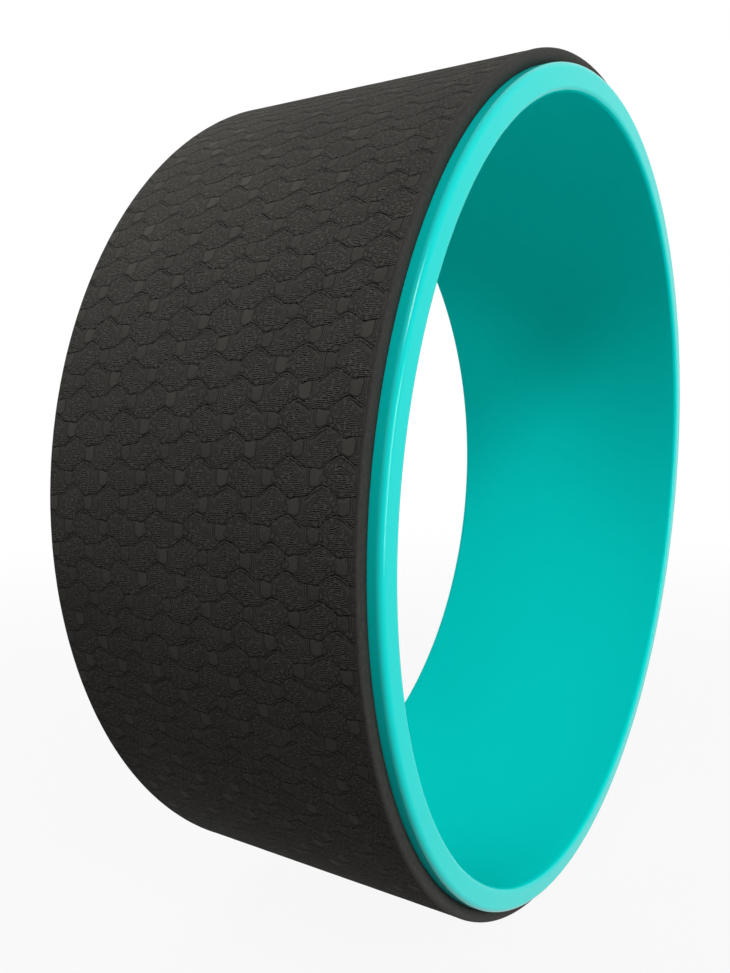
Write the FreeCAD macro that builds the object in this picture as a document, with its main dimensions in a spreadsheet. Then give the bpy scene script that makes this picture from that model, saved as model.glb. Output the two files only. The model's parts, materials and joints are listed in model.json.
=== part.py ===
# A yoga wheel: a rigid plastic hoop with a foam strip wrapped round it as a tread.
# The wheel stands upright. Y is its axis, Z is up, and the origin is the centre of the bore.

import FreeCAD, Part
import os

import Sketcher

doc = FreeCAD.newDocument("yoga_wheel")

# Driving sizes in millimetres, one cell each.
DRIVING_SIZES = {
    "outer_diameter": 330.0,
    "hoop_width": 127.0,
    "hoop_wall": 9.0,
    "hoop_outer_round": 2.0,
    "hoop_inner_round": 2.0,
    "rim_lip": 4.6,
    "tread_thickness": 4.6,
    "tread_edge_round": 1.0,
    "film_thickness": 0.2,
    "film_setback": 1.0,
    "seam_gap": 0.4,
    "seam_recess": 0.5,
}

sheet = doc.addObject("Spreadsheet::Sheet", "Sizes")
for row, (alias, size) in enumerate(DRIVING_SIZES.items(), start=1):
    sheet.set(f"A{row}", alias)
    sheet.set(f"B{row}", str(size))
    sheet.setAlias(f"B{row}", alias)
doc.recompute()

# Radii, from the floor side inwards: the foam, the adhesive under it, then the hoop's wall.
TREAD_OUTER = "Sizes.outer_diameter / 2"
TREAD_INNER = f"({TREAD_OUTER} - Sizes.tread_thickness)"
HOOP_OUTER = f"({TREAD_INNER} - Sizes.film_thickness)"
HOOP_INNER = f"({HOOP_OUTER} - Sizes.hoop_wall)"
SEAM_OUTER = f"({TREAD_OUTER} - Sizes.seam_recess)"

# Widths along the axis. The hoop's rims stand out past the foam, and the adhesive stops short of its edges.
HOOP_WIDTH = "Sizes.hoop_width"
TREAD_WIDTH = f"({HOOP_WIDTH} - 2 * Sizes.rim_lip)"
FILM_WIDTH = f"({TREAD_WIDTH} - 2 * Sizes.film_setback)"

# Angles about the axis. The strip's two ends leave the joint's gap between them, measured at the foam's inner face.
WHOLE_TURN = "360 deg"
SEAM_ANGLE = f"(2 * asin(Sizes.seam_gap / 2 / {TREAD_INNER}))"
STRIP_ANGLE = f"({WHOLE_TURN} - {SEAM_ANGLE})"

# The strip's joint is on the side opposite to +X.
SEAM_PLACE = FreeCAD.Rotation(FreeCAD.Vector(0, 1, 0), 180)


def origin_plane(body, role):
    return next(plane for plane in body.Origin.OriginFeatures if plane.Role == role)


def ring_section(body, inner, outer, width):
    """The rectangle that a ring is turned from: X is the radius and Y runs along the axis."""
    sketch = body.newObject("Sketcher::SketchObject", f"{body.Label}_section")
    sketch.AttachmentSupport = [(origin_plane(body, "XY_Plane"), "")]
    sketch.MapMode = "FlatFace"
    # A unit rectangle, which the three sizes below stretch to the section.
    corners = [FreeCAD.Vector(x, y, 0) for x, y in ((1, -1), (2, -1), (2, 1), (1, 1))]
    near_end, outside, far_end, inside = (
        sketch.addGeometry(Part.LineSegment(corners[k], corners[(k + 1) % 4])) for k in range(4)
    )
    start, end = 1, 2
    axis_line, root_point = -1, 1
    for side, following in ((near_end, outside), (outside, far_end), (far_end, inside), (inside, near_end)):
        sketch.addConstraint(Sketcher.Constraint("Coincident", side, end, following, start))
    for side in (near_end, far_end):
        sketch.addConstraint(Sketcher.Constraint("Horizontal", side))
    sketch.addConstraint(Sketcher.Constraint("Vertical", inside))
    sketch.addConstraint(Sketcher.Constraint("Symmetric", outside, start, outside, end, axis_line))
    sizes = {
        "inner_radius": (Sketcher.Constraint("DistanceX", axis_line, root_point, inside, end, 1), inner),
        "outer_radius": (Sketcher.Constraint("DistanceX", axis_line, root_point, outside, start, 2), outer),
        "width": (Sketcher.Constraint("DistanceY", outside, start, outside, end, 2), width),
    }
    for name, (constraint, size) in sizes.items():
        sketch.renameConstraint(sketch.addConstraint(constraint), name)
        sketch.setExpression(f"Constraints.{name}", size)
    return sketch


def turned_ring(label, inner, outer, width, angle):
    """A ring, or a stretch of one centred on +X, turned about the axis."""
    body = doc.addObject("PartDesign::Body", label)
    body.Label = label
    sketch = ring_section(body, inner, outer, width)
    turned = body.newObject("PartDesign::Revolution", f"{label}_turned")
    turned.Profile = sketch
    turned.ReferenceAxis = (sketch, ["V_Axis"])
    turned.Midplane = True
    turned.setExpression("Angle", angle)
    doc.recompute()
    return body


def round_rims(body, radius, rounding):
    """Rounds the two rims that lie at a radius on the body's latest shape."""
    base = body.Tip
    rim_radius = base.evalExpression(radius)
    rims = [
        f"Edge{number}"
        for number, edge in enumerate(base.Shape.Edges, start=1)
        if isinstance(edge.Curve, Part.Circle) and abs(edge.Curve.Radius - rim_radius) < Part.Precision.confusion()
    ]
    fillet = body.newObject("PartDesign::Fillet", f"{body.Label}_{rounding}")
    fillet.Base = (base, rims)
    fillet.setExpression("Radius", f"Sizes.{rounding}")
    doc.recompute()


# The hoop: one thick moulded ring with rounded rims and a straight, smooth bore.
hoop = turned_ring("hoop", HOOP_INNER, HOOP_OUTER, HOOP_WIDTH, WHOLE_TURN)
round_rims(hoop, HOOP_OUTER, "hoop_outer_round")
round_rims(hoop, HOOP_INNER, "hoop_inner_round")

# The adhesive: a thin closed ring on the hoop, under the foam.
bond_film = turned_ring("bond_film", HOOP_OUTER, TREAD_INNER, FILM_WIDTH, WHOLE_TURN)

# The tread: a foam strip wrapped once round the hoop, with softened outer edges and a butt joint.
tread = turned_ring("tread", TREAD_INNER, TREAD_OUTER, TREAD_WIDTH, STRIP_ANGLE)
round_rims(tread, TREAD_OUTER, "tread_edge_round")

# The glue in the butt joint: it fills the gap between the strip's ends and stops just under the surface.
seam_glue = turned_ring("seam_glue", TREAD_INNER, SEAM_OUTER, FILM_WIDTH, SEAM_ANGLE)
seam_glue.Placement = FreeCAD.Placement(FreeCAD.Vector(0, 0, 0), SEAM_PLACE)
doc.recompute()

for item in doc.Objects:
    if {"Invalid", "Error"} & set(item.State):
        raise RuntimeError(f"{item.Label} failed to build")

os.makedirs("parts", exist_ok=True)
for body in (hoop, bond_film, tread, seam_glue):
    if body.Shape.isNull() or not body.Shape.isValid():
        raise RuntimeError(f"{body.Label} has no valid shape")
    body.Shape.exportStep(f"parts/{body.Label}.step")
    print(body.Label, len(body.Shape.Solids), "solid,", round(body.Shape.Volume), "mm3")
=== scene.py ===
# A yoga wheel standing on its tread: a turquoise plastic hoop with an embossed foam strip wrapped round it.
# The wheel's axis is Y, Z is up and the origin is the centre of the bore. Lengths are in metres.

import json
import math

import bmesh
import bpy
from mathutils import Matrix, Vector


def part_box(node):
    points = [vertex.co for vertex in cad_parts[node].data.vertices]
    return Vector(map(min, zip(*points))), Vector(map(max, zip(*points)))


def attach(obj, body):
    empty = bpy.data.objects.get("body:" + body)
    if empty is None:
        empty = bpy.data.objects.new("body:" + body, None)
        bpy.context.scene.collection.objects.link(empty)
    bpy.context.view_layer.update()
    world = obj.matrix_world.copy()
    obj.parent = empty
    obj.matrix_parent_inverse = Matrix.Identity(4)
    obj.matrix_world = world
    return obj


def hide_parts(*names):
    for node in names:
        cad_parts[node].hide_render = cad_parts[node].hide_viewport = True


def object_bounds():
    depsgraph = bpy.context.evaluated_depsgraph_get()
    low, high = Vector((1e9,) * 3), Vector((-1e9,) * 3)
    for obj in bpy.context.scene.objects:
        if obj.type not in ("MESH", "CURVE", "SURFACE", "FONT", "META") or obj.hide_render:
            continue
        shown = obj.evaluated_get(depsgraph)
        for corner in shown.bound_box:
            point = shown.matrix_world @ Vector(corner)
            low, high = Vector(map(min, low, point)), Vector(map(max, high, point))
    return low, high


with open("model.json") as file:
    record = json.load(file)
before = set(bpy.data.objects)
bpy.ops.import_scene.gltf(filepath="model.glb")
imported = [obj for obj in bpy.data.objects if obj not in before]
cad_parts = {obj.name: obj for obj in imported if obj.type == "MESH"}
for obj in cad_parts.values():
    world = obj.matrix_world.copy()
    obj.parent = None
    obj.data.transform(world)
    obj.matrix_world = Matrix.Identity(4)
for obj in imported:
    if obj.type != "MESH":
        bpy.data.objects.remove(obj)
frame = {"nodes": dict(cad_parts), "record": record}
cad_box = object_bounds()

# The hoop: one thick ring of ABS, moulded in turquoise. Its bore is plain and matt, and its colour is
# painted a little darker as shade inside the hoop. Its rims are glossy and rounded over on both sides, and
# they stand out past the foam.
hoop_low, hoop_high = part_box("hoop")
bore_mount = next(mount for mount in frame["record"]["mounts"] if mount["name"] == "bore")
MILLIMETRE = 0.001
HOOP_RADIUS = -hoop_low.x
HOOP_HALF_WIDTH = hoop_high.y
BORE_RADIUS = bore_mount["dims"]["r_mm"] * MILLIMETRE
RIM_OUTER_ROUND = 0.002
RIM_INNER_ROUND = 0.002
HOOP_STEPS = 360
ROUND_SEGMENTS = 8
TURQUOISE = (0.001, 0.60, 0.56, 1)
TURQUOISE_DEEP = (0.001, 0.585, 0.545, 1)
# The bore's colour is the rims' turquoise painted a little darker: painted shade inside the hoop.
SHADED_BORE_TURQUOISE = (0.001, 0.563, 0.522, 1)
SHADED_BORE_TURQUOISE_DEEP = (0.001, 0.549, 0.509, 1)
RIM_DULLNESS = 0.11
BORE_DULLNESS = 0.5
RIM_GLOSS = 0.13
BORE_GLOSS = 0.0
# The bore's matt finish and its painted shade run a little way up the rims' inner rounds.
BORE_FINISH_RADIUS = BORE_RADIUS + RIM_INNER_ROUND / 4
# The plastic's uneven colour, dullness and skin, by how many patches go to a metre.
CLOUDS = 9.0
CLOUD_STEP = (0.3, 0.7)
HAZE = 60.0
HAZE_DULLS = 0.10
ORANGE_PEEL = 900.0
ORANGE_PEEL_HEIGHT = 0.000002


def new_piece(name, mesh_tools, *materials):
    """Makes a smooth-shaded object from a bmesh, at the origin, and puts it on the part's one body."""
    mesh = bpy.data.meshes.new(name)
    mesh_tools.to_mesh(mesh)
    mesh_tools.free()
    mesh.shade_smooth()
    for material in materials:
        mesh.materials.append(material)
    piece = bpy.data.objects.new(name, mesh)
    bpy.context.scene.collection.objects.link(piece)
    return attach(piece, "root")


def new_material(name):
    """A material that holds only a Principled shader. Returns it, its node tree and the shader."""
    material = bpy.data.materials.new(name)
    material.use_nodes = True
    return material, material.node_tree, material.node_tree.nodes["Principled BSDF"]


def feed(tree, socket, value):
    """Sets a socket to a number or colour, or links it to another socket."""
    if isinstance(value, bpy.types.NodeSocket):
        tree.links.new(value, socket)
    else:
        socket.default_value = value


def maths(tree, operation, *values):
    node = tree.nodes.new("ShaderNodeMath")
    node.operation = operation
    for socket, value in zip(node.inputs, values):
        feed(tree, socket, value)
    return node.outputs[0]


def eased(tree, value, low, high):
    """0 where the value is under low and 1 where it is over high, in a soft step. low may be the larger."""
    node = tree.nodes.new("ShaderNodeMapRange")
    node.interpolation_type = "SMOOTHSTEP"
    feed(tree, node.inputs["Value"], value)
    node.inputs["From Min"].default_value = low
    node.inputs["From Max"].default_value = high
    return node.outputs["Result"]


def blended(tree, factor, first, second):
    """A mix of two colours."""
    node = tree.nodes.new("ShaderNodeMix")
    node.data_type = "RGBA"
    for index, value in ((0, factor), (6, first), (7, second)):
        feed(tree, node.inputs[index], value)
    return node.outputs[2]


def noise(tree, place, scale, detail=2.0, roughness=0.5):
    node = tree.nodes.new("ShaderNodeTexNoise")
    feed(tree, node.inputs["Vector"], place)
    node.inputs["Scale"].default_value = scale
    node.inputs["Detail"].default_value = detail
    node.inputs["Roughness"].default_value = roughness
    return node.outputs["Fac"]


def bumped(tree, height, distance):
    """A surface normal from a height that is counted in the given distance."""
    node = tree.nodes.new("ShaderNodeBump")
    feed(tree, node.inputs["Height"], height)
    node.inputs["Distance"].default_value = distance
    return node.outputs["Normal"]


def object_place(tree):
    return tree.nodes.new("ShaderNodeTexCoord").outputs["Object"]


def moulded_abs(name, colour, deep_colour, dullness, gloss):
    material, tree, shader = new_material(name)
    place = object_place(tree)
    clouds = eased(tree, noise(tree, place, CLOUDS), *CLOUD_STEP)
    feed(tree, shader.inputs["Base Color"], blended(tree, clouds, deep_colour, colour))
    haze = noise(tree, place, HAZE, detail=4.0, roughness=0.6)
    feed(tree, shader.inputs["Roughness"], maths(tree, "MULTIPLY_ADD", haze, HAZE_DULLS, dullness))
    shader.inputs["Specular IOR Level"].default_value = gloss
    peel = noise(tree, place, ORANGE_PEEL, detail=1.0)
    feed(tree, shader.inputs["Normal"], bumped(tree, peel, ORANGE_PEEL_HEIGHT))
    return material


hoop_mesh = bmesh.new()
section_corners = [
    hoop_mesh.verts.new((radius, side * HOOP_HALF_WIDTH, 0))
    for radius, side in ((BORE_RADIUS, -1), (HOOP_RADIUS, -1), (HOOP_RADIUS, 1), (BORE_RADIUS, 1))
]
for corner, following in zip(section_corners, section_corners[1:] + section_corners[:1]):
    hoop_mesh.edges.new((corner, following))
bmesh.ops.spin(
    hoop_mesh,
    geom=hoop_mesh.verts[:] + hoop_mesh.edges[:],
    cent=(0, 0, 0),
    axis=(0, 1, 0),
    angle=math.tau,
    steps=HOOP_STEPS,
    use_merge=True,
)
bmesh.ops.recalc_face_normals(hoop_mesh, faces=hoop_mesh.faces[:])
MID_WALL = (BORE_RADIUS + HOOP_RADIUS) / 2
for rounding, outside in ((RIM_OUTER_ROUND, True), (RIM_INNER_ROUND, False)):
    rim_edges = [
        edge
        for edge in hoop_mesh.edges
        if abs(edge.verts[0].co.y - edge.verts[1].co.y) < rounding
        and all(abs(abs(vert.co.y) - HOOP_HALF_WIDTH) < rounding / 2 for vert in edge.verts)
        and all((math.hypot(vert.co.x, vert.co.z) > MID_WALL) == outside for vert in edge.verts)
    ]
    bmesh.ops.bevel(
        hoop_mesh,
        geom=rim_edges,
        offset=rounding,
        offset_type="OFFSET",
        affect="EDGES",
        segments=ROUND_SEGMENTS,
        profile=0.5,
        material=-1,
    )
for face in hoop_mesh.faces:
    middle = face.calc_center_median()
    if math.hypot(middle.x, middle.z) < BORE_FINISH_RADIUS:
        face.material_index = 1
rim_plastic = moulded_abs("rim_plastic", TURQUOISE, TURQUOISE_DEEP, RIM_DULLNESS, RIM_GLOSS)
shaded_bore_plastic = moulded_abs("shaded_bore_plastic", SHADED_BORE_TURQUOISE, SHADED_BORE_TURQUOISE_DEEP, BORE_DULLNESS, BORE_GLOSS)
hoop = new_piece("moulded_hoop", hoop_mesh, rim_plastic, shaded_bore_plastic)
hoop.modifiers.new("even_faces", "WEIGHTED_NORMAL")
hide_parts("hoop")


# The adhesive: a thin dull film of contact glue that holds the foam on the hoop. Only its edges could show,
# at the bottom of the fine gap beside the rim.
GLUE_BROWN = (0.016, 0.014, 0.011, 1)
GLUE_DARK = (0.008, 0.008, 0.007, 1)
GLUE_SMEARS = 90.0
GLUE_SMEAR_STEP = (0.4, 0.62)
GLUE_SMEAR_HEIGHT = 0.0001
GLUE_DULLNESS = 0.4
SMEARS_DULL = 0.3


def cured_glue():
    material, tree, shader = new_material("cured_glue")
    smears = noise(tree, object_place(tree), GLUE_SMEARS, detail=4.0, roughness=0.6)
    brown = eased(tree, smears, *GLUE_SMEAR_STEP)
    feed(tree, shader.inputs["Base Color"], blended(tree, brown, GLUE_DARK, GLUE_BROWN))
    feed(tree, shader.inputs["Roughness"], maths(tree, "MULTIPLY_ADD", smears, SMEARS_DULL, GLUE_DULLNESS))
    feed(tree, shader.inputs["Normal"], bumped(tree, smears, GLUE_SMEAR_HEIGHT))
    return material


glue = cured_glue()
film = frame["nodes"]["bond_film"]
film.data.materials.clear()
film.data.materials.append(glue)


# The tread: one strip of charcoal closed-cell foam, cut from embossed sheet and wrapped once round the
# hoop. Its skin is pressed with rows of overlapping scales: wrinkled domes with a smooth cell between each
# two. Its long edges are plain cuts with softened corners, and its ends meet in a butt joint at the back.
tread_low, tread_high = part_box("tread")
TREAD_RADIUS = -tread_low.x
TREAD_INNER = -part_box("bond_film")[0].x
TREAD_HALF_WIDTH = tread_high.y
TREAD_EDGE_ROUND = 0.001
FACE_HALF_WIDTH = TREAD_HALF_WIDTH - TREAD_EDGE_ROUND
FACE_COLUMNS = 106
CORNER_SEGMENTS = 4
SEAM_HALF_GAP = 0.0002
END_SOFT = 0.0006
END_DROP = 0.0003
MERGE_DISTANCE = 1e-6
CUT_TOLERANCE = 1e-7
# The scales' repeat, along the axis and from row to row, and how the rows lean. Odd rows are mirrored.
SCALE_PITCH = 0.0158
ROW_PITCH = 0.0076
ROW_LEAN = 0.055
ODD_ROW_SHIFT = 0.0053
# A dome's top that the rows are counted from: its place along the axis and its height up the front.
FIRST_DOME = 0.0312
FIRST_DOME_RISE = 0.0683
# One row's upper crease over one repeat: an arch over the cell, then a dome with nearly straight flanks.
DOME_TOP_SHARE = 0.68
DOME_RISE = 0.0041
FLANK_DROP = 0.0030
LEFT_FLANK = 0.0048
LEFT_FLANK_POWER = 1.3
RIGHT_FLANK = 0.0051
RIGHT_FLANK_POWER = 1.5
CELL_RISE = 0.00105
CELL_ARCH_DROP = 0.0013
CELL_ARCH_REACH = 0.0039
# How deep the pressing goes. Each scale's head is tucked under the foot of the row above.
CREASE_DEPTH = 0.00020
FOOT_SINK = 0.00004
HEAD_SINK = 0.00010
CREASE_REACH = 0.00014
EMBOSS_FADE = 0.0012
# The mesh lines in one row of scales, from its lower crease up: some at distances from that crease, then
# some at shares of the row's height, then some at distances from its upper crease.
LINES_FROM_BELOW = (0, 0.00018, 0.0006)
LINE_SHARES = (0.5,)
LINES_FROM_ABOVE = (0.0007, 0.00017)
LINES_PER_ROW = len(LINES_FROM_BELOW) + len(LINE_SHARES) + len(LINES_FROM_ABOVE)


def soft_step(low, high, value):
    share = min(max((value - low) / (high - low), 0), 1)
    return share * share * (3 - 2 * share)


def repeat_place(row, along):
    """Where a place along the axis falls in a row, counted in repeats from a cell's outer corner."""
    if row % 2 == 0:
        return (along - FIRST_DOME) / SCALE_PITCH + DOME_TOP_SHARE
    return (FIRST_DOME + ODD_ROW_SHIFT - along) / SCALE_PITCH + DOME_TOP_SHARE


def crease_rise(row, along):
    """How far a row's upper crease rises above the row's own base line."""
    past_corner = repeat_place(row, along) % 1 * SCALE_PITCH
    from_top = past_corner - DOME_TOP_SHARE * SCALE_PITCH
    past_last_top = from_top + SCALE_PITCH
    last_flank = DOME_RISE - FLANK_DROP * (past_last_top / RIGHT_FLANK) ** RIGHT_FLANK_POWER
    cell_arch = CELL_RISE - CELL_ARCH_DROP * max(1 - past_corner / CELL_ARCH_REACH, 0) ** 2
    if from_top < 0:
        dome = DOME_RISE - FLANK_DROP * (-from_top / LEFT_FLANK) ** LEFT_FLANK_POWER
    else:
        dome = DOME_RISE - FLANK_DROP * (from_top / RIGHT_FLANK) ** RIGHT_FLANK_POWER
        cell_arch = dome
    return max(last_flank, cell_arch, dome)


DOME_TOP_RISE = crease_rise(0, FIRST_DOME)


def crease_height(row, along):
    """The arc length up the front at which a row's upper crease crosses a place along the axis."""
    base = FIRST_DOME_RISE - DOME_TOP_RISE + row * ROW_PITCH + ROW_LEAN * (along - FIRST_DOME)
    return base + crease_rise(row, along)


def section_stations():
    """The strip's closed outline: place along the axis, radius, and whether the skin is embossed there."""
    outline = [(-TREAD_HALF_WIDTH, TREAD_INNER, False)]
    corner_radius = TREAD_RADIUS - TREAD_EDGE_ROUND
    for k in range(CORNER_SEGMENTS):
        turn = math.pi / 2 * k / CORNER_SEGMENTS
        along = -FACE_HALF_WIDTH - TREAD_EDGE_ROUND * math.cos(turn)
        outline.append((along, corner_radius + TREAD_EDGE_ROUND * math.sin(turn), False))
    for k in range(FACE_COLUMNS + 1):
        outline.append((FACE_HALF_WIDTH * (2 * k / FACE_COLUMNS - 1), TREAD_RADIUS, True))
    outline += [(-along, radius, False) for along, radius, embossed in outline[CORNER_SEGMENTS::-1]]
    return outline + outline[:1]


def emboss_depth(above_lower, below_upper, along):
    """How far the skin is pressed in, from the distances to the creases below and above."""
    share_up = above_lower / (above_lower + below_upper)
    body = FOOT_SINK + (HEAD_SINK - FOOT_SINK) * share_up
    crease = math.exp(-((min(below_upper, above_lower) / CREASE_REACH) ** 2))
    fade = soft_step(0, EMBOSS_FADE, FACE_HALF_WIDTH - abs(along))
    return fade * (body + (CREASE_DEPTH - body) * crease)


stations = section_stations()
half_turn = math.pi * TREAD_RADIUS
crease_room = DOME_TOP_RISE + ROW_LEAN * 2 * TREAD_HALF_WIDTH
FIRST_ROW = math.floor((-half_turn - FIRST_DOME_RISE - crease_room) / ROW_PITCH)
LAST_ROW = math.ceil((half_turn - FIRST_DOME_RISE + crease_room) / ROW_PITCH)
row_lines = (LAST_ROW - FIRST_ROW) * LINES_PER_ROW
columns = len(stations) - 1
face_places = [min(max(along, -FACE_HALF_WIDTH), FACE_HALF_WIDTH) for along, radius, embossed in stations]

# The strip is first made flat: X up the front, Y along the axis and Z the radius.
strip = bmesh.new()
bmesh.ops.create_grid(strip, x_segments=row_lines, y_segments=columns, size=0.5)
# Two maps carry each scale's own measures to its material. One has the place along the rows, in repeats,
# each row a long run on from the last, and the level under the row's base line. The other has the distances
# to the creases below and above. Levels and distances are in millimetres.
ROW_RUN = 40
motif_map = strip.loops.layers.uv.new("motif")
crease_map = strip.loops.layers.uv.new("crease")
grid_places = {}
heights = {}
for vert in strip.verts:
    line = round((vert.co.x + 0.5) * row_lines)
    column = round((vert.co.y + 0.5) * columns)
    grid_places[vert] = (line, column)
    row, level = divmod(line, LINES_PER_ROW)
    row += FIRST_ROW
    along, radius, embossed = stations[column]
    lower = crease_height(row, face_places[column])
    upper = crease_height(row + 1, face_places[column])
    levels = (
        [lower + rise for rise in LINES_FROM_BELOW]
        + [lower + (upper - lower) * share for share in LINE_SHARES]
        + [upper - fall for fall in LINES_FROM_ABOVE]
    )
    height = levels[level]
    heights[vert] = height
    depth = emboss_depth(height - lower, upper - height, along) if embossed else 0
    vert.co = (height, along, radius - depth)

for face in strip.faces:
    first_line = min(grid_places[vert][0] for vert in face.verts)
    row = first_line // LINES_PER_ROW + FIRST_ROW
    embossed = all(stations[grid_places[vert][1]][2] for vert in face.verts)
    face.material_index = 0 if embossed else 1
    for loop in face.loops:
        along = face_places[grid_places[loop.vert][1]]
        lower = crease_height(row, along)
        upper = crease_height(row + 1, along)
        height = heights[loop.vert]
        below = (upper - height) / MILLIMETRE
        level = below - crease_rise(row + 1, along) / MILLIMETRE
        loop[motif_map].uv = (repeat_place(row + 1, along) + row * ROW_RUN, level)
        loop[crease_map].uv = ((height - lower) / MILLIMETRE, below)

bmesh.ops.remove_doubles(strip, verts=strip.verts[:], dist=MERGE_DISTANCE)
# The two cuts across the strip, and a line beside each that softens the cut edge.
strip_end = half_turn - SEAM_HALF_GAP
for side in (-1, 1):
    for inset, clear in ((0, True), (END_SOFT, False)):
        bmesh.ops.bisect_plane(
            strip,
            geom=strip.verts[:] + strip.edges[:] + strip.faces[:],
            dist=CUT_TOLERANCE,
            plane_co=(side * (strip_end - inset), 0, 0),
            plane_no=(side, 0, 0),
            clear_outer=clear,
        )
open_ends = [edge for edge in strip.edges if edge.is_boundary]
end_faces = bmesh.ops.holes_fill(strip, edges=open_ends, sides=0)["faces"]
bmesh.ops.triangulate(strip, faces=end_faces, ngon_method="BEAUTY")
for vert in strip.verts:
    if strip_end - abs(vert.co.x) < END_SOFT / 2 and vert.co.z > TREAD_RADIUS - TREAD_EDGE_ROUND:
        vert.co.z -= END_DROP
# The strip is then wrapped round the hoop.
for vert in strip.verts:
    turn = vert.co.x / TREAD_RADIUS
    vert.co = (vert.co.z * math.cos(turn), vert.co.y, vert.co.z * math.sin(turn))
bmesh.ops.recalc_face_normals(strip, faces=strip.faces[:])

# The crease colour is painted shade that the marks' lines are darkened towards. The wrinkled skin's colour
# is  set lighter than the smooth skin's to make up for that painted shade.
CHARCOAL = (0.0680, 0.0643, 0.0582, 1)
CHARCOAL_PALE = (0.0525, 0.0496, 0.0449, 1)
PAINTED_CREASE_SHADE = (0.002, 0.0019, 0.0018, 1)
CHARCOAL_EDGE = (0.0330, 0.0313, 0.0283, 1)
CHARCOAL_EDGE_DARK = (0.0240, 0.0228, 0.0206, 1)
FOAM_GLOSS = 0.05
FOAM_DULLNESS = 0.85
SMOOTH_SKIN_SHINES = 0.1
GRAIN_DULLS = 0.1
# The scales' finer marks. Lengths are in millimetres, and shares are of one repeat. A step has where a
# mark starts to show and where it shows in full. A span goes on with where it starts to fade and where it
# is gone. A line has its place, the half width at which it has faded out and that of its core.
REPEAT = SCALE_PITCH / MILLIMETRE
MIRROR_SUM = ODD_ROW_SHIFT / SCALE_PITCH + 2 * DOME_TOP_SHARE
# Noises along a row that make the marks wander from scale to scale and tremble within one.
WANDER = 0.3
TREMBLE = 1.0
# The creases, faint where a dome's far flank runs out.
CREASE_STEP = (0.17, 0.06)
CREASE_TREMBLE = 0.3
LOWER_CREASE_NARROWS = 1.5
FAINT_FLANK = (0.84, 0.92, 0.97, 1.0)
FAINT_FLANK_LOSS = 0.5
# A second crease and a smoother band that follow a dome's near flank.
LIP_LINE = (0.85, 0.22, 0.06)
LIP_SHARES = (0.36, 0.42, 0.68, 0.76)
LIP_TREMBLE = 0.4
BAND_FALLS = (0.95, 1.35, 1.75, 2.6)
BAND_SHARES = (0.26, 0.32, 0.46, 0.62)
# The cell: a smooth barrel, each of its own size and clearness, with a few upright cracks beside it.
CELL_SHARE = 0.133
CELL_LEVEL = 1.35
CELL_HALF_WIDTH = 2.1
CELL_HALF_HEIGHT = 2.55
CELL_SQUARENESS = 2.5
CELL_LARGEST = 1.12
CELL_SPREAD = 0.2
CELL_FAINTEST = 0.5
CELL_TREMBLE = 0.7
CELL_STEP = (0.15, -0.35)
CELL_FOOT_STEP = (0.1, 0.6)
CELL_LINE = (0.1, 0.30, 0.08)
CRACK_PITCH = 0.75
CRACK_TREMBLE = 3.0
CRACK_STEP = (0.55, 0.95)
CRACKS_ACROSS = (1.75, 2.05, 3.05, 4.2)
CRACKS_FOOT_STEP = (3.75, 2.35)
# Bubbles strung above a dome's far flank: each one's place past the corner of the cell below, its height
# over the crease and its half sizes. Their line and step are counted in half sizes.
BUBBLES = (
    (1.4, 1.0, 1.1, 0.65),
    (11.3, 1.7, 0.80, 0.95),
    (13.0, 1.8, 0.75, 0.80),
    (14.6, 1.4, 0.75, 0.75),
)
BUBBLE_SQUARENESS = 2.2
BUBBLE_WANDER = 2.2
BUBBLE_TREMBLE = 0.5
BUBBLE_LINE = (1.05, 0.28, 0.08)
BUBBLE_STEP = (1.1, 0.8)
# Wrinkles over the rest of a dome. They follow its arch at the top and level out further down.
WRINKLE_PITCH = 0.54
WRINKLE_LEVEL = 3.8
WRINKLE_WANDER = 1.6
WRINKLE_TREMBLE = 1.0
WRINKLE_STEP = (0.0, 0.5)
LEVELLING_STEP = (1.0, 5.5)
WRINKLE_BREAKS = 1.1
WRINKLE_BREAK_STEP = (0.36, 0.46)
WRINKLE_FAINT_PATCHES = 0.06
WRINKLE_FAINT_STEP = (-0.15, 0.45)
# How much painted shade and depth the marks have beside each other, and how the skin swells between them.
CREASE_WEIGHT = 1.0
LIP_WEIGHT = 0.65
CELL_LINE_WEIGHT = 0.3
CRACK_WEIGHT = 0.8
BUBBLE_LINE_WEIGHT = 0.45
WRINKLE_WEIGHT = 1.0
# The share of painted shade in the marks' lines.
LINE_SHADE_PAINT = 0.95
SMOOTH_SKIN_SWELL = 0.35
GRAIN_SWELL = 0.12
MARK_DEPTH = 0.00045
# Noises over the whole strip, by how many patches go to a metre.
FOAM_GRAIN = 2600.0
FOAM_PATCHES = 35.0
FOAM_PATCH_STRENGTH = 0.3
EDGE_PORES = 1500.0
EDGE_SPECKS = 700.0
EDGE_SPECK_STEP = (0.35, 0.65)
EDGE_PORE_HEIGHT = 0.00003
EDGE_PORES_DULL = 0.15
EDGE_DULLNESS = 0.6
EDGE_GLOSS = 0.08


def uv_parts(tree, name):
    uv = tree.nodes.new("ShaderNodeUVMap")
    uv.uv_map = name
    parts = tree.nodes.new("ShaderNodeSeparateXYZ")
    tree.links.new(uv.outputs["UV"], parts.inputs["Vector"])
    return parts.outputs["X"], parts.outputs["Y"]


def product(tree, *values):
    result = values[0]
    for value in values[1:]:
        result = maths(tree, "MULTIPLY", result, value)
    return result


def largest(tree, *values):
    result = values[0]
    for value in values[1:]:
        result = maths(tree, "MAXIMUM", result, value)
    return result


def within(tree, value, span):
    """1 where a value is inside a span and 0 outside it, with soft ends."""
    start, full, fading, gone = span
    return maths(tree, "MULTIPLY", eased(tree, value, start, full), eased(tree, value, gone, fading))


def line_at(tree, value, line):
    """1 where a value is at the line's place, fading to 0 at the line's half width."""
    place, half_width, core = line
    away = maths(tree, "ABSOLUTE", maths(tree, "SUBTRACT", value, place))
    return eased(tree, away, half_width, core)


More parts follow.
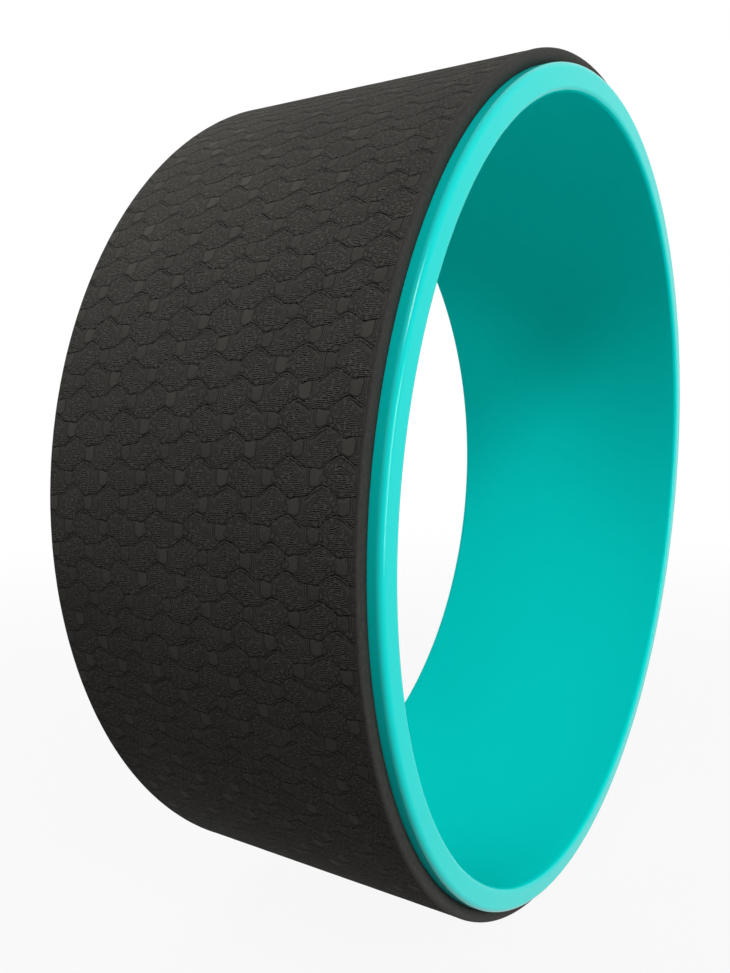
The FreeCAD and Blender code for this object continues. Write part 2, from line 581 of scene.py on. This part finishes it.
def shaken(tree, value, shake, amount):
    """A value moved by a noise that runs from about -0.5 to 0.5."""
    return maths(tree, "MULTIPLY_ADD", shake, amount, value)


def rounded(tree, across, down, squareness):
    """The size of the rounded square, of half width 1, that passes through a point."""
    parts = [maths(tree, "POWER", maths(tree, "ABSOLUTE", part), squareness) for part in (across, down)]
    return maths(tree, "POWER", maths(tree, "ADD", *parts), 1 / squareness)


def crease_line(tree, share, distance):
    """A thin line along a crease, darkened with painted shade, faint where a dome's far flank runs out."""
    strength = maths(tree, "MULTIPLY_ADD", within(tree, share, FAINT_FLANK), -FAINT_FLANK_LOSS, 1.0)
    return maths(tree, "MULTIPLY", eased(tree, distance, *CREASE_STEP), strength)


def embossed_foam():
    material, tree, shader = new_material("embossed_foam")
    repeats, level = uv_parts(tree, "motif")
    above, below = uv_parts(tree, "crease")
    run = tree.nodes.new("ShaderNodeCombineXYZ")
    feed(tree, run.inputs["X"], maths(tree, "MULTIPLY", repeats, REPEAT))
    feed(tree, run.inputs["Y"], level)
    spot = run.outputs["Vector"]
    wander = maths(tree, "SUBTRACT", noise(tree, spot, WANDER, detail=1.0), 0.5)
    tremble = maths(tree, "SUBTRACT", noise(tree, spot, TREMBLE, detail=1.0), 0.5)

    # The creases above and below a scale. The row below is mirrored, so its repeats run the other way.
    share = maths(tree, "FRACT", repeats)
    share_below = maths(tree, "FRACT", maths(tree, "SUBTRACT", MIRROR_SUM, repeats))
    over_lower = maths(tree, "MULTIPLY", above, LOWER_CREASE_NARROWS)
    crease = largest(
        tree,
        crease_line(tree, share, shaken(tree, below, tremble, CREASE_TREMBLE)),
        crease_line(tree, share_below, shaken(tree, over_lower, tremble, CREASE_TREMBLE)),
    )

    # The second crease and the smoother band under a dome's near flank.
    lip_line = line_at(tree, shaken(tree, below, tremble, LIP_TREMBLE), LIP_LINE)
    lip = product(tree, lip_line, within(tree, share, LIP_SHARES))
    band = product(tree, within(tree, below, BAND_FALLS), within(tree, share, BAND_SHARES))

    # The smooth cell, and the upright cracks beside it. Each cell draws its own luck.
    cell_run = maths(tree, "ADD", repeats, 0.5 - CELL_SHARE)
    chance = tree.nodes.new("ShaderNodeTexWhiteNoise")
    chance.noise_dimensions = "1D"
    feed(tree, chance.inputs["W"], maths(tree, "FLOOR", cell_run))
    luck = chance.outputs["Value"]
    across = maths(tree, "MULTIPLY", maths(tree, "SUBTRACT", maths(tree, "FRACT", cell_run), 0.5), REPEAT)
    down = maths(tree, "DIVIDE", maths(tree, "SUBTRACT", level, CELL_LEVEL), CELL_HALF_HEIGHT)
    cell_size = rounded(tree, maths(tree, "DIVIDE", across, CELL_HALF_WIDTH), down, CELL_SQUARENESS)
    cell_growth = maths(tree, "MULTIPLY_ADD", luck, -CELL_SPREAD, CELL_LARGEST)
    cell_size = maths(tree, "MULTIPLY", cell_size, cell_growth)
    past_cell = maths(tree, "MULTIPLY_ADD", cell_size, CELL_HALF_WIDTH, -CELL_HALF_WIDTH)
    past_cell = shaken(tree, past_cell, tremble, CELL_TREMBLE)
    in_cell = product(
        tree,
        eased(tree, past_cell, *CELL_STEP),
        eased(tree, above, *CELL_FOOT_STEP),
        maths(tree, "MULTIPLY_ADD", luck, 1 - CELL_FAINTEST, CELL_FAINTEST),
    )
    cell_line = line_at(tree, past_cell, CELL_LINE)
    past_first_crack = maths(tree, "SUBTRACT", across, CRACKS_ACROSS[1])
    crack_turn = maths(tree, "MULTIPLY", past_first_crack, math.tau / CRACK_PITCH)
    crack_wave = maths(tree, "COSINE", shaken(tree, crack_turn, tremble, CRACK_TREMBLE))
    beside_cell = product(
        tree,
        within(tree, across, CRACKS_ACROSS),
        eased(tree, level, *CRACKS_FOOT_STEP),
    )
    cracks = product(tree, eased(tree, crack_wave, *CRACK_STEP), beside_cell)

    # The bubbles, strung over the row below.
    along_below = shaken(tree, maths(tree, "MULTIPLY", share_below, REPEAT), wander, BUBBLE_WANDER)
    over_crease = shaken(tree, above, tremble, BUBBLE_TREMBLE)
    past_bubble = None
    for bubble_place, bubble_rise, half_width, half_height in BUBBLES:
        sideways = maths(tree, "DIVIDE", maths(tree, "SUBTRACT", along_below, bubble_place), half_width)
        upwards = maths(tree, "DIVIDE", maths(tree, "SUBTRACT", over_crease, bubble_rise), half_height)
        past_this = rounded(tree, sideways, upwards, BUBBLE_SQUARENESS)
        past_bubble = past_this if past_bubble is None else maths(tree, "MINIMUM", past_bubble, past_this)
    in_bubble = eased(tree, past_bubble, *BUBBLE_STEP)
    bubble_line = line_at(tree, past_bubble, BUBBLE_LINE)
    smooth_skin = largest(tree, in_cell, in_bubble, band, beside_cell)

    # The wrinkles on what isn't smooth, broken into short runs and fainter in some patches.
    levelled = eased(tree, below, *LEVELLING_STEP)
    drop = maths(tree, "SUBTRACT", maths(tree, "ADD", level, WRINKLE_LEVEL), below)
    fall = maths(tree, "MULTIPLY_ADD", drop, levelled, below)
    cycles = shaken(tree, maths(tree, "DIVIDE", fall, WRINKLE_PITCH), wander, WRINKLE_WANDER)
    cycles = shaken(tree, cycles, tremble, WRINKLE_TREMBLE)
    wrinkle_wave = maths(tree, "SINE", maths(tree, "MULTIPLY", cycles, math.tau))
    wrinkles = product(
        tree,
        eased(tree, wrinkle_wave, *WRINKLE_STEP),
        maths(tree, "SUBTRACT", 1.0, smooth_skin),
        eased(tree, noise(tree, spot, WRINKLE_BREAKS, detail=1.0), *WRINKLE_BREAK_STEP),
        eased(tree, noise(tree, spot, WRINKLE_FAINT_PATCHES, detail=1.0), *WRINKLE_FAINT_STEP),
    )

    # All the marks together darken the skin's colour with painted shade and cut into it.
    weighted_marks = (
        (crease, CREASE_WEIGHT),
        (lip, LIP_WEIGHT),
        (cell_line, CELL_LINE_WEIGHT),
        (cracks, CRACK_WEIGHT),
        (bubble_line, BUBBLE_LINE_WEIGHT),
        (wrinkles, WRINKLE_WEIGHT),
    )
    cut_and_shade = largest(tree, *(maths(tree, "MULTIPLY", marks, weight) for marks, weight in weighted_marks))
    place = object_place(tree)
    grain = noise(tree, place, FOAM_GRAIN)
    patches = noise(tree, place, FOAM_PATCHES, detail=3.0)
    skin = blended(tree, smooth_skin, CHARCOAL, CHARCOAL_PALE)
    skin = blended(tree, maths(tree, "MULTIPLY", cut_and_shade, LINE_SHADE_PAINT), skin, PAINTED_CREASE_SHADE)
    shade = tree.nodes.new("ShaderNodeHueSaturation")
    lightness = maths(tree, "MULTIPLY_ADD", patches, FOAM_PATCH_STRENGTH, 1 - FOAM_PATCH_STRENGTH / 2)
    feed(tree, shade.inputs["Value"], lightness)
    feed(tree, shade.inputs["Color"], skin)
    feed(tree, shader.inputs["Base Color"], shade.outputs["Color"])
    dull = maths(tree, "MULTIPLY_ADD", smooth_skin, -SMOOTH_SKIN_SHINES, FOAM_DULLNESS)
    feed(tree, shader.inputs["Roughness"], maths(tree, "MULTIPLY_ADD", grain, GRAIN_DULLS, dull))
    swell = maths(
        tree,
        "MULTIPLY_ADD",
        largest(tree, in_cell, in_bubble),
        SMOOTH_SKIN_SWELL,
        maths(tree, "MULTIPLY", grain, GRAIN_SWELL),
    )
    feed(tree, shader.inputs["Normal"], bumped(tree, maths(tree, "SUBTRACT", swell, cut_and_shade), MARK_DEPTH))
    shader.inputs["Specular IOR Level"].default_value = FOAM_GLOSS
    return material


def cut_foam_edge():
    material, tree, shader = new_material("foam_edge")
    place = object_place(tree)
    pores = noise(tree, place, EDGE_PORES, detail=3.0, roughness=0.6)
    specks = noise(tree, place, EDGE_SPECKS, detail=3.0, roughness=0.7)
    specks = eased(tree, specks, *EDGE_SPECK_STEP)
    feed(tree, shader.inputs["Base Color"], blended(tree, specks, CHARCOAL_EDGE_DARK, CHARCOAL_EDGE))
    dull = maths(tree, "MULTIPLY_ADD", pores, EDGE_PORES_DULL, EDGE_DULLNESS)
    feed(tree, shader.inputs["Roughness"], dull)
    feed(tree, shader.inputs["Normal"], bumped(tree, pores, EDGE_PORE_HEIGHT))
    shader.inputs["Specular IOR Level"].default_value = EDGE_GLOSS
    return material


tread = new_piece("embossed_tread", strip, embossed_foam(), cut_foam_edge())
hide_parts("tread")


# The glue in the butt joint: a line of the same adhesive between the strip's ends, just under the surface.
seam = frame["nodes"]["seam_glue"]
seam.data.materials.clear()
seam.data.materials.append(glue)


# The studio: a plain pale floor under the wheel and white all round.
FLOOR_SIZE = 8.0
FLOOR_GREY = (0.30, 0.30, 0.30, 1)
FLOOR_GLOW_SHARE = 0.92
FLOOR_FADE_START = 0.3
FLOOR_FADE_END = 1.1
FLOOR_DULLNESS = 0.9
FLOOR_GLOSS = 0.1


def seen_directly(tree):
    """1 for what the camera sees, straight, mirrored or through glass, and 0 for light on the object."""
    path = tree.nodes.new("ShaderNodeLightPath")
    straight = path.outputs["Is Camera Ray"]
    mirrored = path.outputs["Is Glossy Ray"]
    through = path.outputs["Is Transmission Ray"]
    return maths(tree, "MAXIMUM", maths(tree, "MAXIMUM", straight, mirrored), through)


def pale_floor():
    material, tree, shader = new_material("pale_floor")
    shader.inputs["Base Color"].default_value = FLOOR_GREY
    shader.inputs["Roughness"].default_value = FLOOR_DULLNESS
    shader.inputs["Specular IOR Level"].default_value = FLOOR_GLOSS
    glow = tree.nodes.new("ShaderNodeEmission")
    glow.inputs["Color"].default_value = (1, 1, 1, 1)
    mix = tree.nodes.new("ShaderNodeMixShader")
    reach = tree.nodes.new("ShaderNodeVectorMath")
    reach.operation = "LENGTH"
    feed(tree, reach.inputs[0], object_place(tree))
    away = eased(tree, reach.outputs["Value"], FLOOR_FADE_START, FLOOR_FADE_END)
    glow_share = maths(tree, "MULTIPLY_ADD", away, 1 - FLOOR_GLOW_SHARE, FLOOR_GLOW_SHARE)
    feed(tree, mix.inputs[0], maths(tree, "MULTIPLY", seen_directly(tree), glow_share))
    tree.links.new(shader.outputs["BSDF"], mix.inputs[1])
    tree.links.new(glow.outputs["Emission"], mix.inputs[2])
    tree.links.new(mix.outputs["Shader"], tree.nodes["Material Output"].inputs["Surface"])
    return material


floor_mesh = bmesh.new()
bmesh.ops.create_grid(floor_mesh, x_segments=1, y_segments=1, size=FLOOR_SIZE / 2)
bmesh.ops.translate(floor_mesh, verts=floor_mesh.verts[:], vec=(0, 0, cad_box[0][2]))
floor_data = bpy.data.meshes.new("floor")
floor_mesh.to_mesh(floor_data)
floor_mesh.free()
floor_data.materials.append(pale_floor())
floor = bpy.data.objects.new("floor", floor_data)
bpy.context.scene.collection.objects.link(floor)

world = bpy.data.worlds.new("white_studio")
world.use_nodes = True
bpy.context.scene.world = world
surround = world.node_tree.nodes["Background"]
surround.inputs["Color"].default_value = (1, 1, 1, 1)
feed(world.node_tree, surround.inputs["Strength"], seen_directly(world.node_tree))


def softbox(name, place, size, power, mirrored=True):
    """A square soft light that faces the wheel. Only a mirrored one leaves a highlight."""
    light = bpy.data.lights.new(name, "AREA")
    light.size = size
    light.energy = power
    lamp = bpy.data.objects.new(name, light)
    lamp.location = place
    lamp.rotation_euler = (-Vector(place)).to_track_quat("-Z", "Y").to_euler()
    lamp.visible_glossy = mirrored
    bpy.context.scene.collection.objects.link(lamp)


softbox("key_light", place=(0.72, 0.91, 1.10), size=0.35, power=12.6)
softbox("side_light", place=(0.0, 0.9, 0.05), size=0.4, power=5.7)
softbox("near_light", place=(0.22, -0.20, 0.36), size=0.15, power=1.15, mirrored=False)
softbox("front_light", place=(1.2, 0.2, 0.5), size=0.5, power=2.0, mirrored=False)
softbox("end_light", place=(-0.5, -1.2, 0.15), size=0.5, power=9.0, mirrored=False)
softbox("back_light", place=(-1.3, -0.2, 0.5), size=0.8, power=12.0, mirrored=False)


# The camera: the photograph's own view, close to the tread's front and to the right of it, a little above.
CAMERA_PLACE = (0.34385, 0.17439, 0.04692)
CAMERA_HEADING = math.radians(-147.92)
CAMERA_PITCH = math.radians(-11.45)
PHOTO_HEIGHT = 973
FOCAL_PIXELS = 864.7
CENTRE_RIGHT_PIXELS = 3.28
CENTRE_DOWN_PIXELS = 80.06
SENSOR = 36.0
lens = bpy.data.cameras.new("camera")
lens.sensor_width = SENSOR
lens.sensor_fit = "AUTO"
lens.lens = FOCAL_PIXELS / PHOTO_HEIGHT * SENSOR
lens.shift_x = -CENTRE_RIGHT_PIXELS / PHOTO_HEIGHT
lens.shift_y = CENTRE_DOWN_PIXELS / PHOTO_HEIGHT
lens.clip_start = 0.01
camera = bpy.data.objects.new("camera", lens)
camera.location = CAMERA_PLACE
camera.rotation_euler = (math.pi / 2 + CAMERA_PITCH, 0, CAMERA_HEADING - math.pi / 2)
bpy.context.scene.collection.objects.link(camera)
bpy.context.scene.camera = camera

bpy.context.scene.view_settings.view_transform = "Standard"
